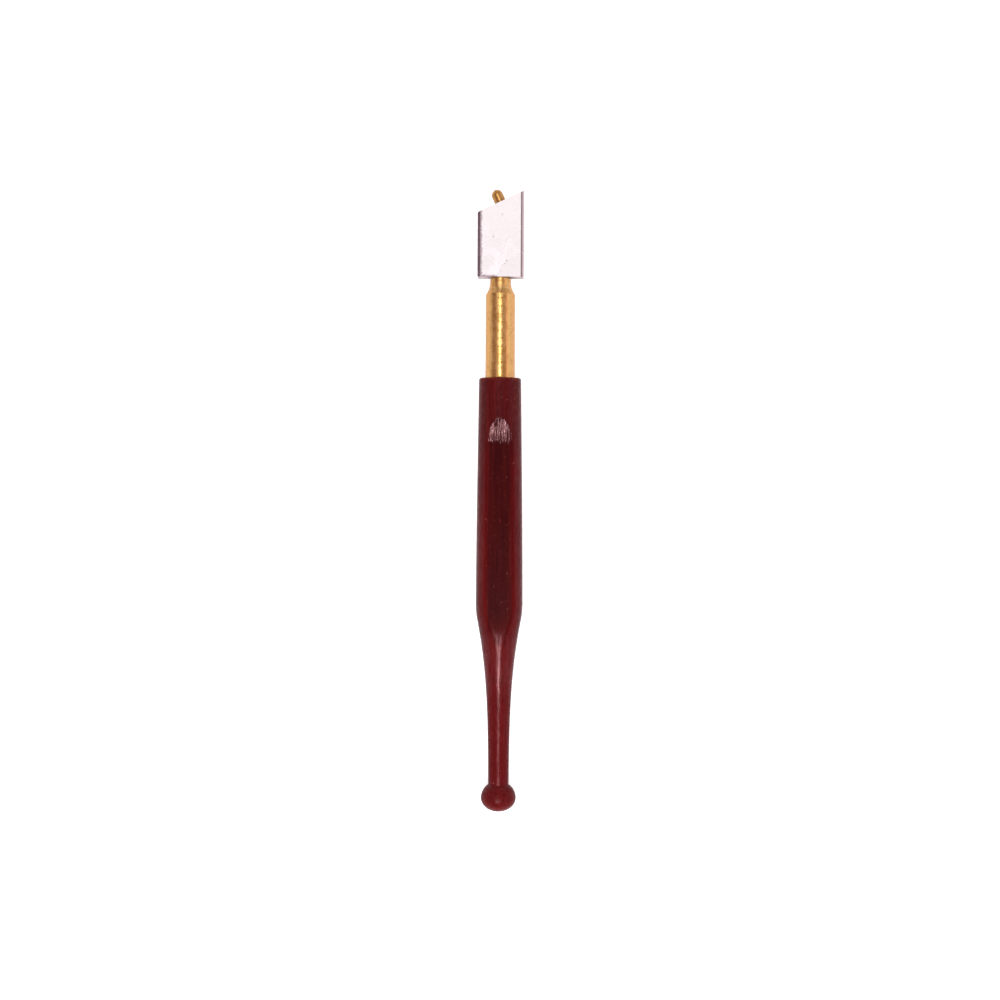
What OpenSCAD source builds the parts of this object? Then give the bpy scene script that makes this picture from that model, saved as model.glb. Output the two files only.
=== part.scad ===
// Glass cutter with a swivelling diamond head.
// The tool lies level along Y with its head towards +Y and its marked front towards +Z.
// The origin is the centre of its bounding box, on the axis that the head turns about.
// Stations are distances along the tool, counted from the end of the ball.

/* [Handle] */
// Length of the wooden handle
handle_len = 121.8; // [115:0.1:130]
// Diameter of the ball at the end
ball_d = 9.85; // [8:0.1:11]
// Length of the ball
ball_len = 8.5; // [7:0.1:10]
// Diameter of the stem where it leaves the ball
stem_d = 5.8; // [5:0.1:7]
// Largest diameter of the barrel
barrel_d = 13.2; // [12.4:0.1:15]
// Diameter of the barrel at the ferrule
barrel_end_d = 11.84; // [11:0.1:12.4]
// Station of the barrel's largest diameter
barrel_start = 59; // [55:1:65]
// Distance between the front and back finger flats
flat_gap = 10.3; // [9.8:0.1:11]
// Station where the finger flats start to run out towards the ferrule
flat_end = 104.1; // [98:0.1:105]
// Angle at which the finger flats start to rise into the barrel
runout_slope = 3.6; // [2:0.1:10]
// Radius of the run-out of the finger flats
runout_r = 32; // [25:1:60]

/* [Ferrule] */
// Diameter of the ferrule
ferrule_d = 8.3; // [7.6:0.1:8.6]
// Length of the ferrule's straight part outside the handle
ferrule_len = 23.8; // [20:0.1:28]
// Length of the ferrule's shank inside the handle
shank_len = 15; // [10:0.5:15]
// Diameter of the neck under the head
neck_d = 5.9; // [5.6:0.1:6.4]
// Length of the shoulder and the neck
neck_len = 4.15; // [3.6:0.05:5]
// Number of engraved ticks
tick_count = 9; // [3:1:9]
// Distance between the engraved ticks
tick_pitch = 2.25; // [1.8:0.05:2.4]

/* [Head] */
// Width of the head block
head_w = 13; // [12:0.1:15]
// Thickness of the head block
head_t = 5.8; // [5.6:0.1:7]
// Length of the block's long side
head_long = 24.1; // [22:0.1:26]
// Length of the block's short side
head_short = 18; // [17:0.1:19]
// Width of the chamfers on the block's front and back faces
chamfer_w = 0.8; // [0.4:0.1:1.2]
// Depth of the chamfers on the block's narrow faces
chamfer_t = 0.3; // [0.2:0.05:0.8]

/* [Swivel] */
// Diameter of the steel spindle that the head turns on
spindle_d = 4; // [3.6:0.1:4.2]
// Radial running clearance of the spindle in the ferrule
run_gap = 0.03; // [0.02:0.01:0.06]
// Angle that the head turns each way
swing = 20; // [5:1:25]
// Diameter of the stop pin
stop_d = 1.6; // [1.4:0.1:1.8]
// Thickness of the thrust washer
washer_t = 0.3; // [0.2:0.05:0.4]

/* [Diamond tip] */
// Diameter of the tip holder
tip_d = 3.15; // [2.8:0.05:3.4]
// Distance from the slanted face to the diamond's point
tip_out = 4.2; // [3.8:0.1:4.8]
// Depth of the holder's hole in the block
tip_depth = 9; // [7:0.5:9.5]
// Distance across the diamond's corners
diamond_d = 1; // [0.8:0.05:1.1]

/* [Hidden] */
$fn = 96;
over = 1;              // how far a cutting solid runs past what it cuts

// handle outline: ball, stem flaring out, rounded shoulder, barrel narrowing to the ferrule
end_round = 0.4;
ball_squash = 0.455;   // share of the ball's length below its widest point
arc_step = 6;
flare_end = barrel_start - 5.8;
flare_r = 0.915 * barrel_d / 2;
flare_slope = 0.19;    // radius gained per mm where the flare meets the shoulder
flare_pull = 14;       // how far back the flare keeps that slope
stem_pull = 20;        // how far the stem stays slender
stem_gain = 0.08;
shoulder_pull = 2;
shoulder_round = 3;
barrel_pull = 16;
barrel_drop = 0.04;
nose_pull = 22;
nose_drop = 0.32;
socket_gap = 0.4;
drill_cone = 1.8;
drill_point_d = 0.2;
joint_lap = 0.001;     // overlap of two solids that are joined end to end

// ferrule
edge_break = 0.25;
shank_bevel = 0.5;
cove_top = 2.6;        // where the cove under the head ends, above the ferrule's shoulder
neck_taper = 0.05;
groove_count = 3;
groove_start = 2.5;
groove_w = 1;
groove_depth = 0.3;
groove_pitch = 3;
tick_w = 1.5;
tick_len = 0.4;
tick_depth = 0.15;
tick_start = 1.4;      // the first tick's distance from the ferrule's shoulder
mouth_chamfer = 0.3;

// swivel
axial_play = 0.05;
washer_margin = 0.15;  // how far the washer's rim stays inside the neck
neck_top = handle_len + ferrule_len + neck_len;
head_foot = neck_top + washer_t + axial_play;
spindle_in_head = 9;
spindle_in_ferrule = 15.5;
bore_floor_gap = 0.7;
spindle_edge = 0.3;
washer_bore_d = spindle_d + 0.16;
stop_station = neck_top - 11;
slot_floor_r = 1;
slot_gap = 0.05;
stop_tip_r = 1.15;
stop_recess = 0.1;
cross_pin_d = 1.5;
cross_pin_station = head_foot + 4.4;
cross_pin_front = 0.6; // wall left between the pin hole and the front face
cross_pin_recess = 0.1;

// head and tip
slant = atan((head_long - head_short) / head_w);
slant_mid = (head_long + head_short) / 2;
tip_edge = 0.2;
nose_start = tip_out - 1.75;
nose_end = tip_out - 0.45;
nose_r = 0.72;
nose_shoulder_r = 0.35;
screw_d = 2.5;
screw_down = 5;        // distance of the set screw below the slanted face, along the tip holder
screw_tip_r = 0.05;
screw_bite = 0.3;      // how deep the screw's point stands in the tip holder
screw_recess = 0.15;
hex_af = 1.3;
hex_depth = 1.1;
braze_r = 0.6;
braze_floor = tip_out - 1.45;
braze_rise = 0.15;
braze_top_r = 0.4;
stone_half = 0.6;
stone_mid = tip_out - stone_half;

total_len = head_foot + slant_mid + tip_out * cos(slant);

function cubic(a, b, c, d, t) =
    pow(1 - t, 3) * a + 3 * pow(1 - t, 2) * t * b + 3 * (1 - t) * t * t * c + pow(t, 3) * d;

// Points along a cubic curve, without its first point.
function curve(a, b, c, d, steps) = [for (i = [1 : steps]) cubic(a, b, c, d, i / steps)];

// Moves a part from stations to the frame of the tool.
module place() {
    translate([0, -total_len / 2, 0]) children();
}

// Lays a solid that stands on Z along the tool, starting at a station.
module along(station) {
    translate([0, station, 0]) rotate([-90, 0, 0]) children();
}

// Stands a solid on the middle of the head's slanted face, square to it.
module on_slant() {
    translate([0, head_foot + slant_mid, 0]) rotate([0, 0, slant]) rotate([-90, 0, 0]) children();
}

// Half outline of the turned handle, as radius and station.
function handle_outline() =
    let (stem_r = stem_d / 2,
         barrel_r = barrel_d / 2,
         end_r = barrel_end_d / 2,
         ball_end = acos(stem_d / ball_d),
         ball_low = ball_squash * ball_len,
         ball_high = ball_len - ball_low,
         stem_start = ball_low + ball_high * sin(ball_end),
         round_start = handle_len - end_round)
    concat(
        [for (a = [-90 : arc_step : 0]) [ball_d / 2 * cos(a), ball_low * (1 + sin(a))]],
        [for (a = [arc_step : arc_step : ball_end]) [ball_d / 2 * cos(a), ball_low + ball_high * sin(a)]],
        [[stem_r, stem_start]],
        curve([stem_r, stem_start],
              [stem_r + stem_gain, stem_start + stem_pull],
              [flare_r - flare_pull * flare_slope, flare_end - flare_pull],
              [flare_r, flare_end], 20),
        curve([flare_r, flare_end],
              [flare_r + shoulder_pull * flare_slope, flare_end + shoulder_pull],
              [barrel_r, barrel_start - shoulder_round],
              [barrel_r, barrel_start], 8),
        curve([barrel_r, barrel_start],
              [barrel_r - barrel_drop, barrel_start + barrel_pull],
              [end_r + nose_drop, handle_len - nose_pull],
              [end_r, round_start], 14),
        [for (a = [30 : 30 : 90]) [end_r - end_round * (1 - cos(a)), round_start + end_round * sin(a)]],
        [[0, handle_len]]);

// What is milled away above one finger flat, lying across the tool at the front.
module flat_cut() {
    low = flat_gap / 2;
    high = barrel_d / 2 + over;
    top_slope = acos(cos(runout_slope) - (high - low) / runout_r);
    rise = [for (i = [1 : 8]) runout_slope + (top_slope - runout_slope) * i / 8];
    rotate([90, 0, 90]) translate([0, 0, -barrel_d]) linear_extrude(2 * barrel_d)
        polygon(concat([[barrel_start / 2, high], [barrel_start / 2, low], [flat_end, low]],
                       [for (a = rise) [flat_end + runout_r * (sin(a) - sin(runout_slope)),
                                        low + runout_r * (cos(runout_slope) - cos(a))]]));
}

module handle() {
    socket_floor = handle_len - shank_len - socket_gap;
    color([0.33, 0.07, 0.07]) place() difference() {
        along(0) rotate_extrude() polygon(handle_outline());
        flat_cut();
        mirror([0, 0, 1]) flat_cut();
        along(socket_floor) cylinder(d = ferrule_d, h = shank_len + socket_gap + over);
        along(socket_floor - drill_cone)
            cylinder(d1 = drill_point_d, d2 = ferrule_d, h = drill_cone + joint_lap);
    }
}

// Half outline of the turned ferrule without its bore and grooves.
function ferrule_outline() =
    let (r = ferrule_d / 2,
         n = neck_d / 2,
         foot = handle_len - shank_len,
         shoulder = handle_len + ferrule_len)
    concat(
        [[0, foot], [r - shank_bevel, foot], [r, foot + shank_bevel], [r, shoulder - edge_break]],
        [for (a = [30 : 30 : 90]) [r - edge_break * (1 - cos(a)), shoulder - edge_break * (1 - sin(a))]],
        curve([r - edge_break, shoulder], [n + 0.22 * cove_top, shoulder + 0.3 * cove_top],
              [n + 0.05 * cove_top, shoulder + 0.55 * cove_top], [n, shoulder + cove_top], 10),
        [[n - neck_taper, neck_top], [0, neck_top]]);

module ferrule() {
    bore_d = spindle_d + 2 * run_gap;
    bore_floor = neck_top - spindle_in_ferrule - bore_floor_gap;
    color([0.85, 0.65, 0.35]) place() difference() {
        along(0) rotate_extrude() polygon(ferrule_outline());
        along(bore_floor) cylinder(d = bore_d, h = neck_top - bore_floor + over);
        along(neck_top - mouth_chamfer)
            cylinder(d1 = bore_d, d2 = bore_d + 2 * mouth_chamfer, h = mouth_chamfer + joint_lap);
        translate([0, stop_station, -ferrule_d]) cylinder(d = stop_d, h = ferrule_d);
        for (i = [0 : groove_count - 1])
            along(handle_len - shank_len + groove_start + i * groove_pitch) difference() {
                cylinder(d = ferrule_d + over, h = groove_w);
                translate([0, 0, -over])
                    cylinder(d = ferrule_d - 2 * groove_depth, h = groove_w + 2 * over);
            }
        for (i = [0 : tick_count - 1])
            translate([-tick_w / 2, handle_len + ferrule_len - tick_start - tick_len - i * tick_pitch,
                       ferrule_d / 2 - tick_depth])
                cube([tick_w, tick_len, over]);
    }
}

// Steel pin pressed into the back of the ferrule, whose end stands in the spindle's slot.
module stop_pin() {
    color([0.6, 0.6, 0.62]) place()
        translate([0, stop_station, -ferrule_d / 2 + stop_recess])
            cylinder(d = stop_d, h = ferrule_d / 2 - stop_recess - stop_tip_r);
}

module thrust_washer() {
    color([0.75, 0.5, 0.3]) place() along(neck_top) difference() {
        cylinder(d = neck_d - 2 * washer_margin, h = washer_t);
        translate([0, 0, -over]) cylinder(d = washer_bore_d, h = washer_t + 2 * over);
    }
}

// Cross-section of the head block, seen along the tool.
module head_section() {
    x = head_w / 2;
    z = head_t / 2;
    polygon([[-x, -z + chamfer_t], [-x + chamfer_w, -z], [x - chamfer_w, -z], [x, -z + chamfer_t],
             [x, z - chamfer_t], [x - chamfer_w, z], [-x + chamfer_w, z], [-x, z - chamfer_t]]);
}

// The set screw's frame: on the tip holder's axis, pointing to the long narrow face.
module at_set_screw() {
    translate([screw_down * sin(slant), head_foot + slant_mid - screw_down * cos(slant), 0])
        rotate([0, 90, 0]) children();
}

// Blank of the set screw from its pointed end outwards.
module screw_blank(reach) {
    start = tip_d / 2 / cos(slant) - screw_bite;
    rotate_extrude()
        polygon([[0, start], [screw_tip_r, start], [screw_d / 2, start + screw_d / 2], [screw_d / 2, reach],
                 [0, reach]]);
}

module head_block() {
    color([0.85, 0.84, 0.86]) place() difference() {
        intersection() {
            translate([0, head_foot, -head_t / 2]) linear_extrude(head_t)
                polygon([[-head_w / 2, 0], [head_w / 2, 0],
                         [head_w / 2, head_long], [-head_w / 2, head_short]]);
            along(head_foot - over) linear_extrude(head_long + 2 * over) head_section();
        }
        along(head_foot - over) cylinder(d = spindle_d, h = spindle_in_head + over);
        on_slant() translate([0, 0, -tip_depth]) cylinder(d = tip_d, h = tip_depth + over);
        translate([0, cross_pin_station, -head_t])
            cylinder(d = cross_pin_d, h = 1.5 * head_t - cross_pin_front);
        at_set_screw() cylinder(d = screw_d, h = head_w);
    }
}

// Steel spindle: pressed into the head and turning in the ferrule, with an arc slot for the stop pin.
module swivel_spindle() {
    foot = neck_top - spindle_in_ferrule;
    len = head_foot + spindle_in_head - foot;
    slot_r = stop_d / 2 + slot_gap;
    color([0.62, 0.62, 0.65]) place() difference() {
        along(foot) rotate_extrude()
            polygon([[0, 0], [spindle_d / 2 - spindle_edge, 0], [spindle_d / 2, spindle_edge],
                     [spindle_d / 2, len - spindle_edge], [spindle_d / 2 - spindle_edge, len], [0, len]]);
        // rotate_extrude starts at +X; the slot is centred on the back
        along(stop_station) rotate([0, 0, 90 - swing])
            rotate_extrude(angle = 2 * swing)
                translate([slot_floor_r, -slot_r]) square([spindle_d, 2 * slot_r]);
        for (a = [-swing, swing])
            translate([0, stop_station, 0]) rotate([0, a, 0])
                translate([0, 0, -spindle_d]) cylinder(r = slot_r, h = spindle_d - slot_floor_r);
        translate([0, cross_pin_station, -head_t]) cylinder(d = cross_pin_d, h = 2 * head_t);
    }
}

// Cross pin that holds the spindle in the head, driven in from the back.
module spindle_pin() {
    color([0.6, 0.6, 0.62]) place()
        translate([0, cross_pin_station, -head_t / 2 + cross_pin_recess])
            cylinder(d = cross_pin_d, h = head_t - cross_pin_front - cross_pin_recess);
}

// Half outline of the bullet-shaped tip holder, along its own axis.
function tip_outline() =
    let (r = tip_d / 2)
    concat(
        [[0, -tip_depth], [r - tip_edge, -tip_depth], [r, -tip_depth + tip_edge]],
        curve([r, nose_start], [r, nose_start + 0.55], [nose_r + nose_shoulder_r, nose_end - 0.1],
              [nose_r, nose_end], 10),
        [[0, nose_end]]);

module tip_holder() {
    color([0.8, 0.58, 0.3]) place() difference() {
        on_slant() rotate_extrude() polygon(tip_outline());
        on_slant() translate([0, 0, braze_floor]) cylinder(r = braze_r, h = tip_out);
        at_set_screw() screw_blank(head_w / 2);
    }
}

module tip_set_screw() {
    reach = head_w / 2 - screw_down * sin(slant) - screw_recess;
    color([0.45, 0.45, 0.48]) place() at_set_screw() difference() {
        screw_blank(reach);
        translate([0, 0, reach - hex_depth]) cylinder(d = hex_af / cos(30), h = hex_depth + over, $fn = 6);
    }
}

// The stone: two four-sided pyramids base to base.
module stone() {
    translate([0, 0, stone_mid]) {
        cylinder(d1 = diamond_d, d2 = 0, h = stone_half, $fn = 4);
        mirror([0, 0, 1]) cylinder(d1 = diamond_d, d2 = 0, h = stone_half, $fn = 4);
    }
}

// Silver braze that fills the socket round the stone.
module diamond_braze() {
    color([0.75, 0.7, 0.6]) place() on_slant() difference() {
        rotate_extrude()
            polygon([[0, braze_floor], [braze_r, braze_floor], [braze_r, nose_end],
                     [braze_top_r, nose_end + braze_rise], [0, nose_end + braze_rise]]);
        stone();
    }
}

module diamond() {
    color([0.8, 0.85, 0.88]) place() on_slant() stone();
}

handle();
ferrule();
stop_pin();
thrust_washer();
head_block();
swivel_spindle();
spindle_pin();
tip_holder();
tip_set_screw();
diamond_braze();
diamond();
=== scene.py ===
import math
import random
from collections import Counter

import bpy
import numpy as np
from bpy.props import FloatProperty, FloatVectorProperty, IntProperty, PointerProperty
from mathutils import Matrix, Vector


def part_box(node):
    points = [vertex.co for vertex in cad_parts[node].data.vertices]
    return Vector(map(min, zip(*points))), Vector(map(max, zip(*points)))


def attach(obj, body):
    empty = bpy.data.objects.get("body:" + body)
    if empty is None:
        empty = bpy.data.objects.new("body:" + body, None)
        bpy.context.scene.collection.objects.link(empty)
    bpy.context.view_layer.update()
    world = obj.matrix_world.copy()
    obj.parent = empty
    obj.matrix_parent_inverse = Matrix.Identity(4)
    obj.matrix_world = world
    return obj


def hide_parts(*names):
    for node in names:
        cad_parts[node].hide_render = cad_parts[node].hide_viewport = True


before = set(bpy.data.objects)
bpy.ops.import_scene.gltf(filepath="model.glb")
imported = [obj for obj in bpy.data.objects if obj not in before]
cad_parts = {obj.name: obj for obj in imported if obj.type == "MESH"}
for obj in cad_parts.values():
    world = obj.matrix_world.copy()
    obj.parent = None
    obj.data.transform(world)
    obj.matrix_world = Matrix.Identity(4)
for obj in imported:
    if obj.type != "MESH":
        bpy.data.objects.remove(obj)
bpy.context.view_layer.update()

bl_info = {"name": "Glass Cutter Builder", "version": (1, 0, 0), "blender": (4, 5, 0),
           "location": "View3D > Sidebar > Glass Cutter",
           "description": "Builds a diamond glass cutter with a swivelling guide head on its CAD frame",
           "category": "Object", }

MM = 0.001
SENSOR_WIDTH = 36.0  # of the camera, in mm
CLIP_START = 0.01
HANDLE_LOW, HANDLE_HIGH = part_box("handle")
FERRULE_LOW, FERRULE_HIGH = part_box("ferrule")
WASHER_LOW, WASHER_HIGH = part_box("thrust_washer")
BLOCK_LOW, BLOCK_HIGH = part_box("head_block")
STOP_LOW, STOP_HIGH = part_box("stop_pin")
CROSS_LOW, CROSS_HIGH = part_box("spindle_pin")
SCREW_LOW, SCREW_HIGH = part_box("tip_set_screw")
BALL_END = HANDLE_LOW.y + 0.001 * MM
BALL_BELOW = 0.455  # share of the ball's length that lies before its widest place
FLATS_AFTER = 40 * MM  # the stem is left round up to here
COVE = 2.6 * MM  # length of the cove between the ferrule's body and its neck
TICK_LEAD = 1.4 * MM  # from the ferrule's shoulder to its first tick
PIN_PLAY = 0.01 * MM  # room round the pin and the holder in the drawn block's holes
STONE_SOCKET = 0.6 * MM  # radius of the hole that the stone stands in
LIP_BEHIND, SOCKET_BEHIND = 0.45 * MM, 1.45 * MM  # the holder's lip and the hole's floor, behind the point


def at(station):
    """The Y of a place on the handle, given in millimetres from the ball's end."""
    return BALL_END + station * MM


# ---- settings

def length(name, text, value):
    """A length in metres, given in millimetres."""
    return FloatProperty(name=name, description=text, default=value * MM, min=0.0, precision=5,
                         unit="LENGTH", subtype="DISTANCE")


def colour(name, text, value):
    return FloatVectorProperty(name=name, description=text, default=value, size=3, min=0.0, max=1.0,
                               subtype="COLOR")


class HandleSettings(bpy.types.PropertyGroup):
    ball_d: length("Ball", "Diameter of the ball at the end", 9.85)
    ball_len: length("Ball length", "Length of the ball", 8.5)
    stem_d: length("Stem", "Diameter of the stem where it leaves the ball", 5.8)
    barrel_d: length("Barrel", "Largest diameter of the barrel", 13.17)
    end_d: length("Barrel end", "Diameter of the barrel at the ferrule", 11.84)
    barrel_start: length("Barrel start", "Distance of the largest diameter from the ball's end", 59)
    flat_gap: length("Flats", "Distance between the front and back finger flats", 10.3)
    flat_end: length("Flat end", "Where the finger flats start to run out", 104.1)
    runout_slope: FloatProperty(name="Run-out angle", description="Angle at which the flats start to rise",
                                default=math.radians(3.6), min=0.01, unit="ROTATION", subtype="ANGLE")
    runout_r: length("Run-out", "Radius of the run-out of the finger flats", 32)
    ribs: length("File marks", "Height of the file marks along the run-outs", 0.022)
    edge_round: length("Flat edge", "How far the lacquer rounds the edges of the flats", 0.4)
    socket_d: length("Socket", "Diameter of the ferrule's socket", 8.3)
    socket_depth: length("Socket depth", "Depth of the ferrule's socket", 15.4)
    # Painted shade: this tint darkens the middle of the finger flats.
    flat: colour("Flats", "Tint of the darker lacquer on the finger flats", (0.5, 0.62, 0.66))
    # Redder colour for the stem and the ball, laid more weakly over the round barrel, where it is painted
    # light.
    stem: colour("Stem colour", "Colour of the thin lacquer on the stem and the ball",
                 (0.122, 0.0055, 0.006))
    wood: colour("Wood", "Colour of the lacquered wood", (0.066, 0.0042, 0.0055))
    grain: colour("Grain", "Colour of the lighter grain", (0.112, 0.0078, 0.007))


class FerruleSettings(bpy.types.PropertyGroup):
    ferrule_d: length("Ferrule", "Diameter of the ferrule", 8.3)
    straight: length("Straight", "Length of the straight part outside the handle", 23.8)
    neck_d: length("Neck", "Diameter of the neck under the head", 5.9)
    bore_d: length("Bore", "Diameter of the spindle's bore", 4.06)
    bore_depth: length("Bore depth", "Depth of the spindle's bore", 16.2)
    tick_pitch: length("Tick pitch", "Distance between the engraved ticks", 2.25)
    tick_len: length("Tick", "Width of each engraved tick along the ferrule", 0.4)
    tick_depth: length("Tick depth", "Depth of the engraved ticks", 0.07)
    ticks: IntProperty(name="Ticks", description="Number of engraved ticks", default=9, min=0, max=9)
    brass: colour("Brass", "Colour of the polished brass", (0.87, 0.53, 0.195))


class HeadSettings(bpy.types.PropertyGroup):
    short_side: length("Short side", "Length of the block's short side", 18)
    chamfer_w: length("Chamfer width", "Width of the chamfers on the front and back faces", 0.8)
    chamfer_t: length("Chamfer depth", "Depth of the chamfers on the narrow faces", 0.3)
    edge_round: length("Edges", "Rounding of the block's edges", 0.15)
    pit_r: length("Pits", "Radius of the small pits in the plating", 0.38)
    nickel: colour("Plating", "Colour of the nickel plating", (0.775, 0.75, 0.76))
    steel: colour("Steel", "Colour of the pins", (0.56, 0.55, 0.55))


class TipSettings(bpy.types.PropertyGroup):
    holder_d: length("Holder", "Diameter of the tip holder", 3.15)
    depth: length("Depth", "How deep the holder stands in the block", 9)
    reach: length("Reach", "Distance from the slanted face to the stone's point", 4.2)
    stone_d: length("Stone", "Distance across the stone's corners", 1)
    stone_half: length("Stone height", "Half of the stone's height", 0.6)
    brass: colour("Holder brass", "Colour of the tip holder", (0.64, 0.37, 0.125))


class StudioSettings(bpy.types.PropertyGroup):
    camera_height: length("Camera height", "Distance of the camera above the tool's axis", 469)
    camera_aside: length("Camera aside", "Distance of the camera to the right of the tool's axis", 0.12)
    camera_along: length("Camera along", "Distance of the camera from the middle towards the head", 0.11)
    lens: FloatProperty(name="Lens", description="Focal length in mm", default=60.0, min=10.0)
    roll: FloatProperty(name="Roll", description="Turn of the camera about its view",
                        default=math.radians(0.25), unit="ROTATION", subtype="ANGLE")
    key: FloatProperty(name="Key light", description="Brightness of the long softbox", default=28.0,
                       min=0.0)
    top: FloatProperty(name="Top light", description="Brightness of the panel overhead", default=1.07,
                       min=0.0)
    sides: FloatProperty(name="Sides", description="Brightness of the pale surroundings", default=0.74,
                         min=0.0)
    gap: FloatProperty(name="Gap", description="Brightness of the ceiling between the lights", default=0.12,
                       min=0.0)
    ceiling: colour("Ceiling", "Tint of the dim ceiling", (1.0, 0.72, 0.74))
    floor_glow: FloatProperty(name="Floor glow", description="How far the floor is washed out to white",
                              default=0.75, min=0.0)


# ---- modelling helpers

def set_mode(mode):
    """Changes between object and edit mode."""
    bpy.ops.object.mode_set(mode=mode)


def select_mesh(action):
    bpy.ops.mesh.select_all(action=action)


def smooth(degrees):
    bpy.ops.object.shade_smooth_by_angle(angle=math.radians(degrees))


def store(mesh, name, domain, values):
    """Keeps one number for each point or face of a mesh, for its material to read."""
    mesh.attributes.new(name, "FLOAT", domain).data.foreach_set("value", values)


def deselect():
    if bpy.context.mode != "OBJECT":
        set_mode("OBJECT")
    bpy.ops.object.select_all(action="DESELECT")


def activate(piece):
    deselect()
    piece.select_set(True)
    bpy.context.view_layer.objects.active = piece


def cubic(a, b, c, d, t):
    s = 1 - t
    return tuple(s ** 3 * a[i] + 3 * s * s * t * b[i] + 3 * s * t * t * c[i] + t ** 3 * d[i]
                 for i in (0, 1))


def curve(a, b, c, d, steps):
    """Points along a cubic curve, without its first point."""
    return [cubic(a, b, c, d, i / steps) for i in range(1, steps + 1)]


def corner(centre, radius, start, end, steps):
    """Points of an arc, from a start to an end angle in degrees."""
    angles = [math.radians(start + (end - start) * i / steps) for i in range(steps + 1)]
    return [(centre[0] + radius * math.cos(a), centre[1] + radius * math.sin(a)) for a in angles]


def turned(name, outline, segments, sharp=30.0):
    """A piece turned about the Y axis. The outline is a list of (radius, y)."""
    deselect()
    first = outline[0]
    bpy.ops.mesh.primitive_plane_add(size=MM, location=(first[0], first[1], 0))
    piece = bpy.context.active_object
    piece.name = piece.data.name = name
    bpy.ops.object.transform_apply(location=True, rotation=True, scale=True)
    set_mode("EDIT")
    bpy.ops.mesh.select_mode(type="VERT")
    select_mesh("SELECT")
    bpy.ops.mesh.merge(type="CENTER")
    for here, there in zip(outline, outline[1:]):
        step = (there[0] - here[0], there[1] - here[1], 0)
        bpy.ops.mesh.extrude_vertices_move(TRANSFORM_OT_translate={"value": step})
    select_mesh("SELECT")
    bpy.ops.mesh.spin(steps=segments, angle=2 * math.pi, center=(0, 0, 0), axis=(0, 1, 0))
    select_mesh("SELECT")
    bpy.ops.mesh.remove_doubles(threshold=0.001 * MM)
    bpy.ops.mesh.normals_make_consistent(inside=False)
    set_mode("OBJECT")
    smooth(sharp)
    return piece


def place(piece, matrix):
    """Moves a finished piece's mesh, leaving its object at the origin."""
    activate(piece)
    piece.matrix_world = matrix
    bpy.ops.object.transform_apply(location=True, rotation=True, scale=True)


def apply_modifier(piece, kind, **values):
    activate(piece)
    modifier = piece.modifiers.new(kind.title(), kind)
    for key, value in values.items():
        setattr(modifier, key, value)
    bpy.ops.object.modifier_apply(modifier=modifier.name)


def carve(piece, cutters):
    """Cuts the cutters out of a piece and removes them."""
    for cutter in cutters:
        apply_modifier(piece, "BOOLEAN", object=cutter, operation="DIFFERENCE", solver="EXACT")
        mesh = cutter.data
        bpy.data.objects.remove(cutter)
        bpy.data.meshes.remove(mesh)


def rod(radius, depth, centre, direction, segments=48):
    """A plain cylinder to cut with, centred on a point."""
    deselect()
    bpy.ops.mesh.primitive_cylinder_add(vertices=segments, radius=radius, depth=depth)
    cutter = bpy.context.active_object
    turn = Vector(direction).to_track_quat("Z", "Y").to_matrix().to_4x4()
    place(cutter, Matrix.Translation(centre) @ turn)
    return cutter


def check_closed(piece):
    """Raises an error unless every edge of a piece joins exactly two faces."""
    sides = Counter(edge for face in piece.data.polygons for edge in face.edge_keys)
    if not sides or any(count != 2 for count in sides.values()):
        open_edges = sum(count != 2 for count in sides.values())
        raise RuntimeError(f"{piece.name} isn't closed: {open_edges} of its {len(sides)} edges are open")


def finish(piece, body, material, slot, *nodes):
    """Checks a piece, then gives it its material and body and hides the CAD nodes that it stands for. The
    slot is not used.
    """
    check_closed(piece)
    piece.data.materials.clear()
    piece.data.materials.append(material)
    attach(piece, body)
    if nodes:
        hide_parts(*nodes)


# ---- material helpers

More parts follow.
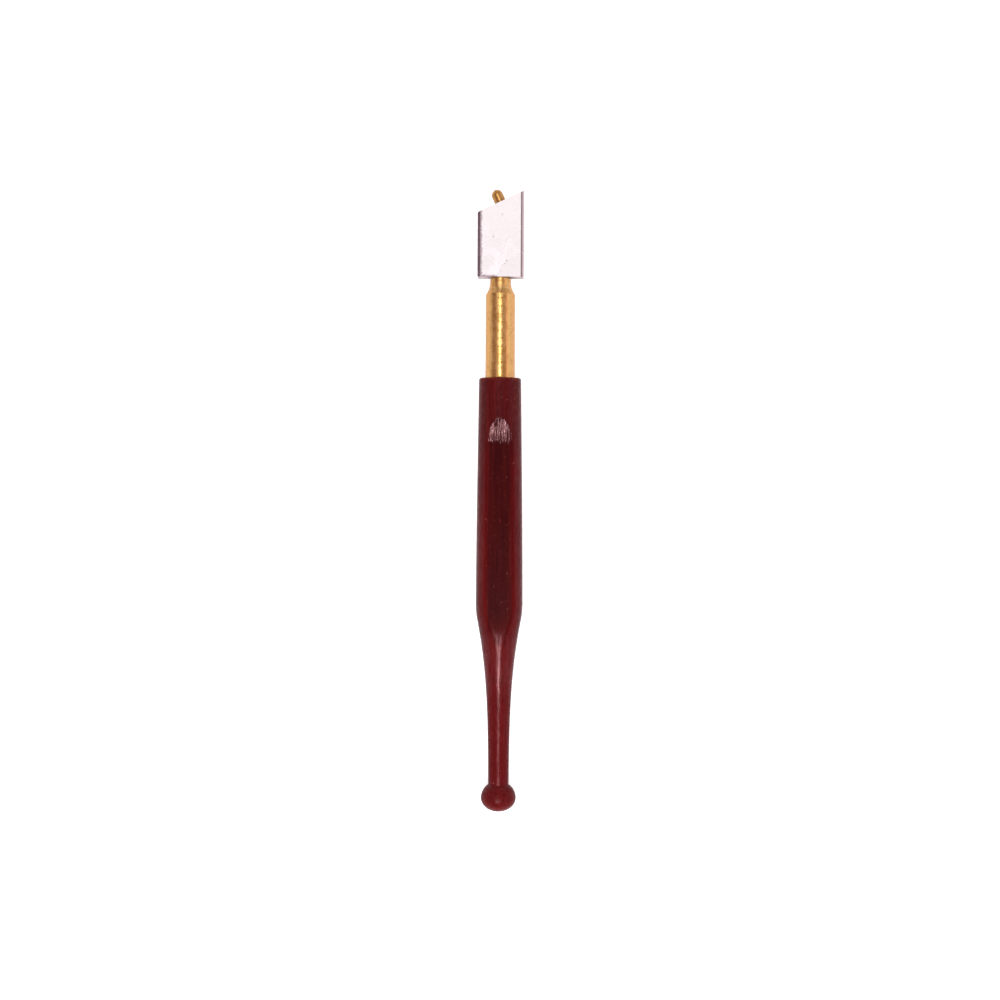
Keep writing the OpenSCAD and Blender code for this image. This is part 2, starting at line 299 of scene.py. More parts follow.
class Net:
    """A node tree, with short ways to add its nodes and link them."""

    def __init__(self, tree):
        self.tree = tree

    def node(self, kind, **values):
        """Adds a node. Each value sets one of its properties, or else one of its sockets."""
        made = self.tree.nodes.new(kind)
        for key, value in values.items():
            if hasattr(made, key) and key not in made.inputs:
                setattr(made, key, value)
            else:
                made.inputs[key].default_value = value
        return made

    def feed(self, value, socket):
        """Links a value to a socket when it is a socket itself, and sets it otherwise."""
        if isinstance(value, bpy.types.NodeSocket):
            self.tree.links.new(value, socket)
        elif isinstance(value, (int, float)):
            socket.default_value = value
        else:
            socket.default_value = (*value, 1.0)

    def math(self, operation, *values):
        made = self.node("ShaderNodeMath", operation=operation)
        for value, socket in zip(values, made.inputs):
            self.feed(value, socket)
        return made.outputs[0]

    def chain(self, operation, first, *others):
        """Works one after the other through several values."""
        for value in others:
            first = self.math(operation, first, value)
        return first

    def plus(self, *values):
        return self.chain("ADD", *values)

    def minus(self, *values):
        return self.chain("SUBTRACT", *values)

    def times(self, *values):
        return self.chain("MULTIPLY", *values)

    def larger(self, first, second):
        return self.math("MAXIMUM", first, second)

    def ramp(self, value, low, high, first=0.0, last=1.0, kind="SMOOTHSTEP"):
        """Maps a range of values to another one, without going past its ends."""
        made = self.node("ShaderNodeMapRange", interpolation_type=kind)
        for label, number in (("Value", value), ("From Min", low), ("From Max", high), ("To Min", first),
                              ("To Max", last)):
            self.feed(number, made.inputs[label])
        return made.outputs["Result"]

    def soft_box(self, value, low, high, edge):
        """1 between two values, fading to 0 over an edge on each side."""
        return self.times(self.ramp(value, low - edge / 2, low + edge / 2),
                          self.ramp(value, high - edge / 2, high + edge / 2, 1.0, 0.0))

    def mix_value(self, factor, first, second):
        made = self.node("ShaderNodeMix")
        for value, socket in ((factor, "Factor"), (first, 2), (second, 3)):
            self.feed(value, made.inputs[socket])
        return made.outputs[0]

    def mix(self, factor, first, second, blend="MIX"):
        """Mixes two colours."""
        made = self.node("ShaderNodeMix", data_type="RGBA", blend_type=blend)
        for value, socket in ((factor, "Factor"), (first, 6), (second, 7)):
            self.feed(value, made.inputs[socket])
        return made.outputs[2]

    def stain(self, base, mask, strength, tint):
        """Lays a colour over another one where a mask says, at a strength."""
        return self.mix(self.times(mask, strength), base, tint)

    def noise(self, vector, scale, detail=4.0, roughness=0.55, distortion=0.0):
        made = self.node("ShaderNodeTexNoise", Detail=detail, Roughness=roughness, Distortion=distortion)
        self.feed(scale, made.inputs["Scale"])
        self.feed(vector, made.inputs["Vector"])
        return made.outputs["Fac"]

    def bump(self, shader, height, distance, strength=1.0):
        made = self.node("ShaderNodeBump", Strength=strength, Distance=distance)
        self.feed(height, made.inputs["Height"])
        self.feed(made.outputs["Normal"], shader.inputs["Normal"])
        return made.outputs["Normal"]

    def use(self, group, vector, **values):
        """Places a shared effect with its own values and gives its mask."""
        made = self.node("ShaderNodeGroup", node_tree=group)
        self.feed(vector, made.inputs["Vector"])
        for key, value in values.items():
            if isinstance(value, tuple):
                made.inputs[key].default_value = value
            else:
                self.feed(value, made.inputs[key])
        return made.outputs["Mask"]

    def coordinates(self, space="Object"):
        return self.node("ShaderNodeTexCoord").outputs[space]

    def attribute(self, name):
        return self.node("ShaderNodeAttribute", attribute_name=name).outputs["Fac"]

    def stretched(self, vector, scale):
        made = self.node("ShaderNodeMapping", Scale=scale)
        self.feed(vector, made.inputs["Vector"])
        return made.outputs["Vector"]

    def split(self, vector):
        made = self.node("ShaderNodeSeparateXYZ")
        self.feed(vector, made.inputs["Vector"])
        return tuple(made.outputs)


def new_material(name):
    material = bpy.data.materials.new(name)
    material.use_nodes = True
    net = Net(material.node_tree)
    return material, net, net.tree.nodes["Principled BSDF"]


def set_inputs(shader, **values):
    """Sets constants on a shader's own sockets."""
    for key, value in values.items():
        shader.inputs[key.replace("_", " ")].default_value = value


def effect(name, **inputs):
    """A shader node group from a vector and other inputs to one mask: its net, inputs and mask socket."""
    net = Net(bpy.data.node_groups.new(name, "ShaderNodeTree"))
    sockets = net.tree.interface
    sockets.new_socket("Vector", in_out="INPUT", socket_type="NodeSocketVector")
    for label, value in inputs.items():
        kind = "NodeSocketVector" if isinstance(value, tuple) else "NodeSocketFloat"
        sockets.new_socket(label, in_out="INPUT", socket_type=kind).default_value = value
    sockets.new_socket("Mask", in_out="OUTPUT", socket_type="NodeSocketFloat")
    return net, net.node("NodeGroupInput").outputs, net.node("NodeGroupOutput").inputs["Mask"]


# ---- shared effects

def speck_group():
    """Small scattered specks: dust in lacquer, pits in plating, scuffs on brass."""
    net, given, mask = effect("Specks", Density=600.0, Size=0.12, Share=0.3)
    cells = net.node("ShaderNodeTexVoronoi")
    net.feed(given["Vector"], cells.inputs["Vector"])
    net.feed(given["Density"], cells.inputs["Scale"])
    dot = net.math("LESS_THAN", cells.outputs["Distance"], given["Size"])
    parts = net.node("ShaderNodeSeparateColor")
    net.feed(cells.outputs["Color"], parts.inputs["Color"])
    kept = net.math("LESS_THAN", parts.outputs["Red"], given["Share"])
    net.feed(net.times(dot, kept), mask)
    return net.tree


def smudge_group():
    """Broad uneven patches, as handling leaves on a polished surface."""
    net, given, mask = effect("Smudges", Scale=150.0, Low=0.4, High=0.65)
    cloud = net.noise(given["Vector"], given["Scale"], 5.0, 0.5, 0.6)
    net.feed(net.ramp(cloud, given["Low"], given["High"]), mask)
    return net.tree


def scratch_group():
    """Fine hairline scratches in one direction, broken up along their length."""
    net, given, mask = effect("Hairlines", Stretch=(3000.0, 60.0, 3000.0), Cut=0.62)
    lines = net.node("ShaderNodeVectorMath", operation="MULTIPLY")
    net.feed(given["Vector"], lines.inputs[0])
    net.feed(given["Stretch"], lines.inputs[1])
    fine = net.noise(lines.outputs[0], 1.0, 3.0, 0.5)
    net.feed(net.ramp(fine, given["Cut"], 0.8, kind="LINEAR"), mask)
    return net.tree


def wear_group():
    """Patchy wear along edges, where hands and work have rubbed the surface thin."""
    net, given, mask = effect("Edge Wear", Edge=0.0, Scale=900.0)
    patches = net.ramp(net.noise(given["Vector"], given["Scale"]), 0.42, 0.62)
    net.feed(net.times(patches, given["Edge"]), mask)
    return net.tree


SPECKS = speck_group()
SMUDGES = smudge_group()
HAIRLINES = scratch_group()
EDGE_WEAR = wear_group()


# ---- materials

def lacquered_wood(settings):
    """Dark red-brown wood under a thick glossy lacquer, with painted shade darkening the middle of the
    flats and painted light making the round barrel and the ball's end a brighter red.
    """
    material, net, shader = new_material("lacquered_wood")
    vector = net.coordinates()
    along_grain = net.stretched(vector, (1.0, 0.05, 1.0))
    broad = net.noise(along_grain, 420.0, 5.0, 0.6, 0.4)
    fibres = net.noise(net.stretched(vector, (1.0, 0.025, 1.0)), 2600.0, 3.0, 0.6)
    pores = net.times(net.ramp(fibres, 0.54, 0.7), 0.6)
    base = net.mix(net.ramp(broad, 0.38, 0.68), settings.wood, settings.grain)
    x, y, _ = net.split(vector)
    thin = net.ramp(y, at(58), at(42))
    pressed = net.attribute("pressed")
    inner = net.times(pressed, net.ramp(net.math("ABSOLUTE", x), 4.3 * MM, 2.0 * MM))
    # Painted light: everywhere but the middle of the flats, the handle is made redder from the flats' upper
    # end downwards.
    painted_barrel_light = net.mix_value(inner, net.ramp(y, at(106), at(96), 0.0, 0.4), 0.0)
    # The stem and the ball take the redder colour most strongly; on the round barrel it is painted light.
    redder = net.larger(net.times(thin, 0.75), painted_barrel_light)
    base = net.mix(redder, base, settings.stem)
    specks = net.use(SPECKS, vector, Density=520.0, Size=0.1, Share=0.3)
    # Painted shade: the middle of the flats is darkened by the flats' tint, less towards their lower end.
    painted_flat_shade = net.times(inner, net.ramp(y, at(47), at(58), 0.3, 1.0))
    base = net.mix(painted_flat_shade, base, settings.flat, "MULTIPLY")
    # Painted light: the ball's end, which faces the softbox, is made a brighter red.
    base = net.mix(net.ramp(y, at(4), at(0), 0.0, 0.45), base, (0.22, 0.009, 0.009))
    flecks = net.use(SPECKS, vector, Density=1500.0, Size=0.27, Share=0.22)
    base = net.mix(net.times(flecks, net.ramp(broad, 0.35, 0.65, 0.05, 0.3)), base, (0.26, 0.035, 0.025))
    base = net.stain(base, specks, 0.3, (0.35, 0.14, 0.13))
    base = net.mix(pores, base, (0.018, 0.002, 0.003))
    rim = net.ramp(y, HANDLE_HIGH.y - 1.1 * MM, HANDLE_HIGH.y - 0.2 * MM)
    base = net.mix(net.use(EDGE_WEAR, vector, Edge=rim, Scale=1400.0), base, (0.16, 0.022, 0.012))
    net.feed(base, shader.inputs["Base Color"])
    smudges = net.use(SMUDGES, vector, Scale=110.0)
    dull = net.plus(net.ramp(smudges, 0.0, 1.0, 0.13, 0.2, kind="LINEAR"), net.times(thin, 0.13),
                    net.ramp(y, at(9), at(6), 0.0, 0.07))
    net.feed(dull, shader.inputs["Roughness"])
    filed = net.attribute("filed")
    broken = net.noise(net.stretched(vector, (1.0, 0.4, 1.0)), 1500.0, 3.0)
    gloss = net.mix_value(pressed, net.ramp(broken, 0.4, 0.62, 0.1, 0.24), 0.02)
    streaks = net.noise(net.stretched(vector, (1.0, 0.05, 0.1)), 2800.0, 2.0, 0.6, 0.3)
    shiny = net.times(filed, net.ramp(streaks, 0.36, 0.6, 0.2, 0.72))
    rubbed = net.times(net.ramp(streaks, 0.34, 0.56), net.soft_box(y, at(34), at(49), 7 * MM), 0.3)
    net.feed(net.plus(gloss, shiny, rubbed), shader.inputs["Specular IOR Level"])
    waves = net.noise(net.stretched(vector, (1.0, 0.12, 1.0)), 520.0, 2.0)
    peel = net.times(net.noise(vector, 1500.0, 3.0, 0.65), net.mix_value(filed, 1.6, 0.0))
    relief = net.plus(net.times(waves, 0.6), net.times(fibres, 0.16), net.times(specks, 0.35), peel,
                      net.times(streaks, filed, 5.0))
    net.feed(net.bump(shader, relief, 0.00005, 0.6), shader.inputs["Coat Normal"])
    set_inputs(shader, Coat_Weight=0.015, Coat_Roughness=0.2, Coat_IOR=1.52,
               Specular_Tint=(1.0, 0.52, 0.55, 1.0))
    return material


def turned_brass(name, tint, dull, shine, line_height):
    """Brass with fine turning lines, smudges and a little tarnish, darker tick floors, patches of painted
    dark reflection on its front, and painted shade on the tip holder where it leaves the block.
    """
    material, net, shader = new_material(name)
    vector = net.coordinates()
    turning_axis = net.node("ShaderNodeVectorTransform", vector_type="VECTOR", convert_from="OBJECT",
                            convert_to="WORLD")
    turning_axis.inputs["Vector"].default_value = (0.0, 1.0, 0.0)
    net.feed(turning_axis.outputs["Vector"], shader.inputs["Tangent"])
    set_inputs(shader, Anisotropic=0.75, Metallic=1.0)
    smudges = net.use(SMUDGES, vector, Scale=260.0)
    tarnish = net.use(SMUDGES, vector, Scale=95.0, Low=0.5, High=0.8)
    blotch = net.use(SMUDGES, vector, Scale=420.0, Low=0.52, High=0.7)
    tarnish = net.plus(net.times(tarnish, 0.4), net.times(blotch, 0.5))
    base = net.mix(tarnish, tint, dull)
    # Darker on the engraved tick floors; on the tip holder the same attribute is painted shade where it
    # leaves the block.
    base = net.stain(base, net.attribute("engraved"), 0.85, (0.14, 0.06, 0.025))
    specks = net.use(SPECKS, vector, Density=900.0, Size=0.13, Share=0.14)
    base = net.stain(base, specks, 0.45, (0.2, 0.1, 0.04))
    x, y, z = net.split(vector)
    # Painted dark reflection: patches of darker brass on the front, the side that faces up.
    front = net.times(net.soft_box(x, -2.9 * MM, 1.9 * MM, 0.8 * MM), net.ramp(z, 0.0, 1.5 * MM))
    painted_darkening = net.use(SMUDGES, net.stretched(vector, (1.0, 0.5, 1.0)), Scale=700.0, Low=0.38, High=0.62)
    base = net.stain(base, net.times(painted_darkening, front), 0.6, (0.56, 0.27, 0.06))
    beside = net.minus(x, net.times(y, 0.48))
    scar = net.times(net.soft_box(beside, -19.6 * MM, -19.45 * MM, 0.15 * MM),
                     net.soft_box(y, 46.0 * MM, 48.2 * MM, 0.8 * MM))
    base = net.stain(base, scar, 0.5, (0.3, 0.16, 0.05))
    shoulder = FERRULE_HIGH.y - COVE
    edges = net.larger(net.soft_box(y, shoulder - 0.3 * MM, shoulder + 0.15 * MM, 0.2 * MM),
                       net.soft_box(y, FERRULE_HIGH.y - 0.3 * MM, FERRULE_HIGH.y, 0.2 * MM))
    base = net.stain(base, net.use(EDGE_WEAR, vector, Edge=edges, Scale=1100.0), 0.6, (0.95, 0.68, 0.34))
    net.feed(base, shader.inputs["Base Color"])
    net.feed(net.ramp(smudges, 0.0, 1.0, shine, shine + 0.1, kind="LINEAR"), shader.inputs["Roughness"])
    lines = net.noise(net.stretched(vector, (0.06, 1.0, 0.06)), 5200.0, 2.0, 0.7)
    hairs = net.use(HAIRLINES, vector, Stretch=(2400.0, 90.0, 2400.0))
    waves = net.noise(net.stretched(vector, (1.0, 0.5, 1.0)), 420.0, 3.0)
    height = net.plus(net.minus(lines, net.times(hairs, 0.7)), net.times(waves, 3.0))
    net.bump(shader, height, line_height, 0.5)
    return material


def nickel_plate(settings):
    """Softly polished nickel plating with pits, hairlines and wear at its edges, painted shade along its
    left and lower left edges, and a painted dark line and painted highlight on its right chamfer.
    """
    material, net, shader = new_material("nickel_plate")
    vector = net.coordinates()
    set_inputs(shader, Metallic=1.0)
    clouds = net.use(SMUDGES, vector, Scale=180.0)
    specks = net.use(SPECKS, vector, Density=700.0, Size=0.14, Share=0.1)
    mottle = net.use(SMUDGES, vector, Scale=900.0, Low=0.45, High=0.6)
    stain = net.plus(net.times(clouds, 0.35), net.times(mottle, 0.25))
    base = net.mix(stain, settings.nickel, (0.74, 0.685, 0.71))
    base = net.stain(base, specks, 0.5, (0.38, 0.34, 0.38))
    x, y, z = net.split(vector)
    # Painted shade: a ragged dark rim along the left edge of the front face and along its lower left edge.
    ragged = net.noise(vector, 1500.0, 4.0)
    left = net.ramp(x, BLOCK_LOW.x + 2.4 * MM, BLOCK_LOW.x + 0.5 * MM)
    low = net.times(net.ramp(y, BLOCK_LOW.y + 1.3 * MM, BLOCK_LOW.y), net.ramp(x, 1.5 * MM, -2.5 * MM))
    rim = net.minus(net.larger(left, low), net.times(ragged, 0.9))
    front = net.ramp(z, BLOCK_HIGH.z - 0.7 * MM, BLOCK_HIGH.z - 0.35 * MM)
    rim = net.times(net.ramp(rim, 0.0, 0.45), front)
    base = net.stain(base, rim, 0.8, (0.28, 0.21, 0.25))
    # Painted dark reflection: a dark line along the inner edge of the right chamfer on the front.
    groove_and_painted_line = net.soft_box(x, BLOCK_HIGH.x - 0.9 * MM, BLOCK_HIGH.x - 0.5 * MM, 0.12 * MM)
    base = net.stain(base, net.times(groove_and_painted_line, front), 0.85, (0.25, 0.18, 0.22))
    # Painted highlight: a lighter strip over the outer part of the right chamfer on the front.
    painted_highlight = net.ramp(x, BLOCK_HIGH.x - 0.45 * MM, BLOCK_HIGH.x - 0.3 * MM, 0.0, 0.6)
    base = net.mix(net.times(painted_highlight, front), base, (0.96, 0.9, 0.93))
    base = net.stain(base, net.attribute("sawn"), 0.6, (0.68, 0.6, 0.62))
    wear = net.use(EDGE_WEAR, vector, Edge=net.attribute("edge_wear"), Scale=900.0)
    base = net.stain(base, wear, 0.6, (0.7, 0.58, 0.46))
    net.feed(base, shader.inputs["Base Color"])
    net.feed(net.ramp(clouds, 0.0, 1.0, 0.2, 0.3, kind="LINEAR"), shader.inputs["Roughness"])
    hairs = net.use(HAIRLINES, vector, Stretch=(2600.0, 70.0, 2600.0))
    skin = net.noise(vector, 900.0, 3.0)
    height = net.minus(net.times(skin, 0.5), net.times(specks, 0.8), net.times(hairs, 0.35))
    net.bump(shader, height, 0.00003, 0.4)
    return material


def plain_steel(name, tint, roughness):
    """Ground steel with fine lines and a little staining."""
    material, net, shader = new_material(name)
    vector = net.coordinates()
    set_inputs(shader, Metallic=1.0)
    stains = net.use(SMUDGES, vector, Scale=700.0)
    base = net.stain(tint, stains, 0.5, tuple(0.6 * part for part in tint))
    net.feed(base, shader.inputs["Base Color"])
    net.feed(net.ramp(stains, 0.0, 1.0, roughness, roughness + 0.12, kind="LINEAR"),
             shader.inputs["Roughness"])
    grain = net.noise(net.stretched(vector, (1.0, 0.2, 1.0)), 6000.0, 3.0)
    net.bump(shader, grain, 0.00002, 0.5)
    return material


def rough_diamond():
    """A natural crystal: clear, slightly frosted in patches."""
    material, net, shader = new_material("rough_diamond")
    vector = net.coordinates()
    frost = net.use(SMUDGES, vector, Scale=2500.0)
    net.feed(net.mix(frost, (0.93, 0.95, 0.96), (0.8, 0.84, 0.86)), shader.inputs["Base Color"])
    net.feed(net.ramp(frost, 0.0, 1.0, 0.03, 0.25, kind="LINEAR"), shader.inputs["Roughness"])
    net.bump(shader, net.noise(vector, 9000.0, 3.0), 0.00001, 0.5)
    set_inputs(shader, Transmission_Weight=0.85, IOR=2.2)
    return material


# ---- the handle

def handle_outline(s):
    """The handle's half outline, from the ball's end to the bottom of the ferrule's socket."""
    total = HANDLE_HIGH.y - BALL_END
    stem_r, barrel_r, end_r = s.stem_d / 2, s.barrel_d / 2, s.end_d / 2
    ball_end = math.degrees(math.acos(s.stem_d / s.ball_d))
    low, high = BALL_BELOW * s.ball_len, (1 - BALL_BELOW) * s.ball_len
    stem_start = low + high * math.sin(math.radians(ball_end))
    flare_end = s.barrel_start - 5.8 * MM
    flare_r, slope = 0.915 * barrel_r, 0.19
    end_round = 0.4 * MM
    points = [(0.0, 0.0)]
    steps = 40
    for i in range(1, steps + 1):
        a = math.radians(-90 + (ball_end + 90) * i / steps)
        points.append((s.ball_d / 2 * math.cos(a), low + (high if a > 0 else low) * math.sin(a)))
    points += curve((stem_r, stem_start), (stem_r + 0.08 * MM, stem_start + 20 * MM),
                    (flare_r - 14 * MM * slope, flare_end - 14 * MM), (flare_r, flare_end), 84)
    points += curve((flare_r, flare_end), (flare_r + 2 * MM * slope, flare_end + 2 * MM),
                    (barrel_r, s.barrel_start - 3 * MM), (barrel_r, s.barrel_start), 22)
    points += curve((barrel_r, s.barrel_start), (barrel_r - 0.04 * MM, s.barrel_start + 16 * MM),
                    (end_r + 0.32 * MM, total - 22 * MM), (end_r, total - end_round), 190)
    points += corner((end_r - end_round, total - end_round), end_round, 0, 90, 5)[1:]
    socket_r, floor = s.socket_d / 2, total - s.socket_depth
    points += [(socket_r + 0.1 * MM, total), (socket_r, total - 0.1 * MM), (socket_r, floor),
               (0.1 * MM, floor - 1.8 * MM), (0.0, floor - 1.8 * MM)]
    return [(r, BALL_END + y) for r, y in points]


def press_flats(piece, s):
    """Presses the two finger flats and their run-outs into the turned barrel, with softly rounded edges."""
    mesh = piece.data
    points = np.empty(len(mesh.vertices) * 3)
    mesh.vertices.foreach_get("co", points)
    points = points.reshape(-1, 3)
    station = points[:, 1] - BALL_END
    radius = np.hypot(points[:, 0], points[:, 2])
    uneven = (np.sin(points[:, 0] / (0.13 * MM)) + np.sin(points[:, 0] / (0.21 * MM) + 1.3)
              + np.sin(points[:, 0] / (0.33 * MM) + 0.4))
    past = station - s.flat_end + 0.2 * MM * uneven
    bend = 0.7 * MM
    along = np.clip((past + np.sqrt(past ** 2 + bend ** 2)) / 2, 0, 0.9 * s.runout_r)
    sine = np.minimum(math.sin(s.runout_slope) + along / s.runout_r, 0.99)
    height = s.flat_gap / 2 + s.runout_r * (math.cos(s.runout_slope) - np.sqrt(1 - sine ** 2))
    height -= 0.13 * MM * np.clip((station - 80 * MM) / (20 * MM), 0, 1)
    height += hand_marks(points[:, 0], past, np.sign(points[:, 2]), s)
    lift = np.maximum(np.abs(points[:, 2]) / np.maximum(radius, 1e-9), 1e-3)
    limit = height / lift
    rounding = s.edge_round * (1 - 0.7 * np.clip(past / MM + 1, 0, 1))
    near = np.clip(rounding - np.abs(radius - limit), 0, None) / rounding
    pressed = np.minimum(radius, limit) - near * near * rounding / 4
    share = np.where(station > FLATS_AFTER, pressed / np.maximum(radius, 1e-9), 1.0)
    share = np.where(radius < s.socket_d / 2 + 0.2 * MM, 1.0, share)
    depth = np.where(share < 1, np.clip((radius - pressed) / (0.05 * MM), 0, 1), 0)
    store(mesh, "pressed", "POINT", depth.astype(np.float32))
    store(mesh, "filed", "POINT", (depth * file_starts(past)).astype(np.float32))
    points[:, 0] *= share
    points[:, 2] *= share
    mesh.vertices.foreach_set("co", points.ravel())
    mesh.update()


def file_starts(past):
    """0 on the flats and 1 on the run-outs, from the distance past the flats' end."""
    return np.clip(past / (0.8 * MM) + 0.6, 0, 1)


def hand_marks(across, past, side, s):
    """Uneven ribs that the file left along the run-outs, as a change of height."""
    rng = random.Random(11)
    ribs = np.zeros_like(across)
    for _ in range(12):
        pitch, lean = rng.uniform(0.65, 1.5) * MM, rng.uniform(-0.12, 0.12)
        sway = 0.12 * MM * np.sin(past / (rng.uniform(0.5, 1.1) * MM) + rng.uniform(0, 6.28))
        ribs += np.sin(2 * math.pi * (across + lean * past + sway) / pitch + rng.uniform(0, 6.28) + side)
    fade = file_starts(past) * np.clip((7 * MM - past) / (1.5 * MM), 0, 1)
    return ribs / 3.5 * s.ribs * fade


class GLASSCUTTER_OT_handle(bpy.types.Operator):
    """Turn the wooden handle and press its finger flats"""
    bl_idname = "glasscutter.handle"
    bl_label = "Handle"

    def execute(self, context):
        settings = context.scene.cutter_handle
        piece = turned("turned_handle", handle_outline(settings), 192, 35)
        press_flats(piece, settings)
        finish(piece, "grip", lacquered_wood(settings), "lacquered_wood", "handle")
        return {"FINISHED"}


# ---- the ferrule and its small parts

def ferrule_outline(s):
    """The ferrule's half outline: shank, straight body, coved shoulder, neck and bore."""
    r, n, bore = s.ferrule_d / 2, s.neck_d / 2, s.bore_d / 2
    foot, top = FERRULE_LOW.y, FERRULE_HIGH.y
    handle_top = HANDLE_HIGH.y
    shoulder = handle_top + s.straight
    edge = 0.25 * MM
    points = [(0, foot), (r - 0.5 * MM, foot), (r, foot + 0.5 * MM)]
    grip = r - 0.3 * MM
    for i in range(3):
        low = foot + 2.5 * MM + i * 3 * MM
        points += [(r, low), (grip, low + 0.05 * MM), (grip, low + 0.95 * MM), (r, low + MM)]
    points += [(r, handle_top + 0.2 * MM)]
    for i in reversed(range(s.ticks)):
        low = shoulder - TICK_LEAD - s.tick_len - i * s.tick_pitch
        points += [(r, low), (r, low + s.tick_len)]
    points += corner((r - edge, shoulder - edge), edge, 0, 90, 6)
    points += curve((r - edge, shoulder), (n + 0.22 * COVE, shoulder + 0.3 * COVE),
                    (n + 0.05 * COVE, shoulder + 0.55 * COVE), (n, shoulder + COVE), 18)
    points += [(n - 0.05 * MM, top - 0.12 * MM), (n - 0.15 * MM, top), (bore + 0.3 * MM, top),
               (bore, top - 0.3 * MM), (bore, top - s.bore_depth), (0, top - s.bore_depth)]
    return points


def engrave_ticks(piece, s):
    """Sinks a row of short ticks into the front of the ferrule."""
    shoulder = HANDLE_HIGH.y + s.straight
    half_w = 0.75 * MM
    activate(piece)
    set_mode("EDIT")
    bpy.ops.mesh.select_mode(type="FACE")
    select_mesh("DESELECT")
    set_mode("OBJECT")
    mesh = piece.data
    for face in mesh.polygons:
        c = face.center
        if c.z < 0.9 * s.ferrule_d / 2 or abs(c.x) > half_w:
            continue
        for i in range(s.ticks):
            middle = shoulder - TICK_LEAD - s.tick_len / 2 - i * s.tick_pitch
            face.select = face.select or abs(c.y - middle) < s.tick_len / 4
    set_mode("EDIT")
    bpy.ops.mesh.extrude_region_move(TRANSFORM_OT_translate={"value": (0, 0, -s.tick_depth)})
    bpy.ops.transform.resize(value=(0.9, 1, 1), center_override=(0, 0, 0))
    set_mode("OBJECT")
    store(mesh, "engraved", "FACE", [0.4 if face.select else 0.0 for face in mesh.polygons])
    smooth(30)


class GLASSCUTTER_OT_ferrule(bpy.types.Operator):
    """Turn the brass ferrule, engrave its ticks and drill it for the stop pin"""
    bl_idname = "glasscutter.ferrule"
    bl_label = "Ferrule"

    def execute(self, context):
        settings = context.scene.cutter_ferrule
        piece = turned("turned_ferrule", ferrule_outline(settings), 192)
        engrave_ticks(piece, settings)
        hole = rod((STOP_HIGH.x - STOP_LOW.x) / 2, 4 * MM, (0, (STOP_LOW.y + STOP_HIGH.y) / 2, STOP_LOW.z),
                   (0, 0, 1), 40)
        carve(piece, [hole])
        smooth(30)
        brass = turned_brass("polished_brass", settings.brass, (0.62, 0.36, 0.14), 0.23, 0.000012)
        finish(piece, "grip", brass, "turned_brass", "ferrule")
        return {"FINISHED"}


def dowel(name, low, high, dome):
    """A pin with a domed outer end that stands along Z in the box of its CAD node."""
    r, total = (high.x - low.x) / 2, high.z - low.z
    chamfer = 0.12 * MM
    outline = [(0, 0), (r - chamfer, 0), (r, chamfer)]
    outline += curve((r, total - dome), (r, total - 0.35 * dome), (0.6 * r, total), (0.0, total), 12)
    pin = turned(name, outline, 64)
    top = ((low.x + high.x) / 2, (low.y + high.y) / 2, high.z)
    place(pin, Matrix.Translation(top) @ Matrix.Rotation(math.radians(-90), 4, "X"))
    return pin


class GLASSCUTTER_OT_swivel(bpy.types.Operator):
    """Make the thrust washer and the stop pin, and give the spindle its steel"""
    bl_idname = "glasscutter.swivel"
    bl_label = "Swivel Parts"

    def execute(self, context):
        steel = plain_steel("ground_steel", context.scene.cutter_head.steel, 0.28)
        low, high = WASHER_LOW.y, WASHER_HIGH.y
        outer = (WASHER_HIGH.x - WASHER_LOW.x) / 2
        inner, edge = 2.08 * MM, 0.06 * MM
        outline = [(inner, low + edge), (inner + edge, low), (outer - edge, low), (outer, low + edge),
                   (outer, high - edge), (outer - edge, high), (inner + edge, high), (inner, high - edge),
                   (inner, low + edge)]
        washer = turned("bronze_washer", outline, 96)
        bronze = turned_brass("washer_bronze", (0.5, 0.29, 0.13), (0.3, 0.16, 0.08), 0.3, 0.00001)
        finish(washer, "grip", bronze, "washer_bronze", "thrust_washer")
        finish(dowel("ferrule_stop_pin", STOP_LOW, STOP_HIGH, 0.2 * MM), "grip", steel, "steel", "stop_pin")
        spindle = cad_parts["swivel_spindle"]
        spindle.data.materials.clear()
        spindle.data.materials.append(steel)
        return {"FINISHED"}


# ---- the head

def slant_of(s):
    """The angle of the block's slanted face."""
    long_side = BLOCK_HIGH.y - BLOCK_LOW.y
    return math.atan((long_side - s.short_side) / (BLOCK_HIGH.x - BLOCK_LOW.x))


def slant_frame(s):
    """Stands a piece made along Y on the middle of the slanted face, square to it."""
    middle = (BLOCK_LOW.y + s.short_side + BLOCK_HIGH.y) / 2
    return Matrix.Translation((0, middle, 0)) @ Matrix.Rotation(slant_of(s), 4, "Z")


def pit_cutters(s):
    """Small balls that leave the block's pits: across, height above its foot, size."""
    pits = [(0.4, 17.3, 0.9), (0.4, 14.0, 0.7), (-2.1, 11.2, 1.0), (-1.1, 11.1, 0.6), (1.7, 4.5, 0.9),
            (1.2, 3.4, 1.1), (0.1, 1.7, 0.8)]
    balls = []
    for across, up, size in pits:
        deselect()
        r = size * s.pit_r
        bpy.ops.mesh.primitive_uv_sphere_add(segments=20, ring_count=12, radius=r)
        ball = bpy.context.active_object
        place(ball, Matrix.Translation((across * MM, BLOCK_LOW.y + up * MM, BLOCK_HIGH.z + 0.8 * r)))
        balls.append(ball)
    return balls


def mark_faces(piece):
    """Stores which faces are rounded edges and which are sawn ends, for the wear in the plating."""
    mesh = piece.data
    worn = [1.0 if face.area < 4 * MM * MM and abs(face.normal.z) < 0.999 else 0.0
            for face in mesh.polygons]
    sawn = [1.0 if abs(face.normal.y) > 0.85 else 0.0 for face in mesh.polygons]
    store(mesh, "edge_wear", "FACE", worn)
    store(mesh, "sawn", "FACE", sawn)


